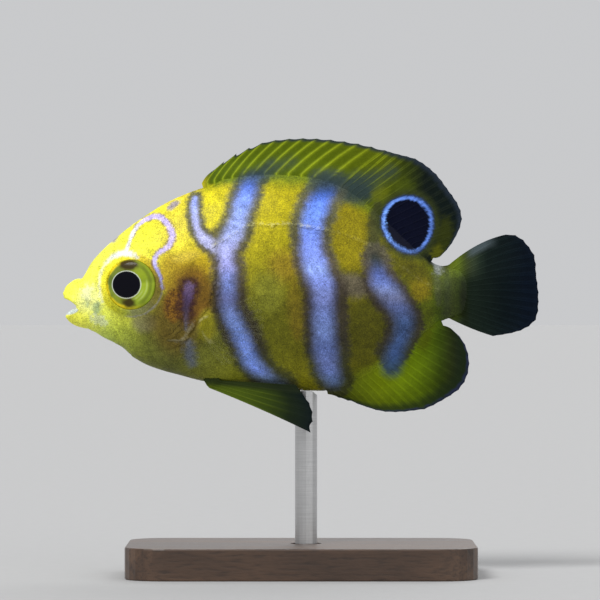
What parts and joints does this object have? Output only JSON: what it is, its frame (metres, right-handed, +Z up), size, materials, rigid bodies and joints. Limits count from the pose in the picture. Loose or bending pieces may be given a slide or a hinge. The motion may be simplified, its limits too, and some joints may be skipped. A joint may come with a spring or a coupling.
{
  "type": "juvenile regal angelfish on a display stand",
  "caption": "Life-size still model of a juvenile regal angelfish, fins spread, held level on a plain flat base by a short rod.",
  "frame": {"origin": "on the floor, under the middle of the bounding box", "axes": "X runs from the snout (-X) to the tip of the tail (+X), the fish's left flank faces -Y and its right flank +Y, +Z is up"},
  "size_m": [0.03, 0.014, 0.0276],
  "materials": {
    "head": "satin, scaled skin with a wet sheen",
    "trunk": "satin, scaled skin with a wet sheen",
    "tail_stalk": "satin, scaled skin with a wet sheen",
    "gill_cover_left": "satin, scaled skin with a wet sheen",
    "gill_cover_right": "satin, scaled skin with a wet sheen",
    "upper_lip": "satin, scaled skin with a wet sheen",
    "lower_jaw": "satin, scaled skin with a wet sheen",
    "eye_left": "wet, clear gloss",
    "eye_right": "wet, clear gloss",
    "dorsal_fin_spiny": "satin, slightly see-through membrane",
    "dorsal_fin_soft": "satin, slightly see-through membrane",
    "anal_fin": "satin, slightly see-through membrane",
    "tail_fin": "satin, slightly see-through membrane",
    "pectoral_fin_left": "satin, slightly see-through membrane",
    "pectoral_fin_right": "satin, slightly see-through membrane",
    "pelvic_fin_left": "satin, slightly see-through membrane",
    "pelvic_fin_right": "satin, slightly see-through membrane",
    "stand_base": "satin dark walnut",
    "stand_rod": "brushed"
  },
  "bodies": {
    "root": {"head": "head", "trunk": "trunk", "tail_stalk": "tail_stalk", "gill_cover_left": "gill_cover_left", "gill_cover_right": "gill_cover_right", "upper_lip": "upper_lip", "lower_jaw": "lower_jaw", "eye_left": "eye_left", "eye_right": "eye_right", "dorsal_fin_spiny": "dorsal_fin_spiny", "dorsal_fin_soft": "dorsal_fin_soft", "anal_fin": "anal_fin", "tail_fin": "tail_fin", "pectoral_fin_left": "pectoral_fin_left", "pectoral_fin_right": "pectoral_fin_right", "pelvic_fin_left": "pelvic_fin_left", "pelvic_fin_right": "pelvic_fin_right", "stand_base": "stand_base", "stand_rod": "stand_rod"}
  },
  "joints": []
}
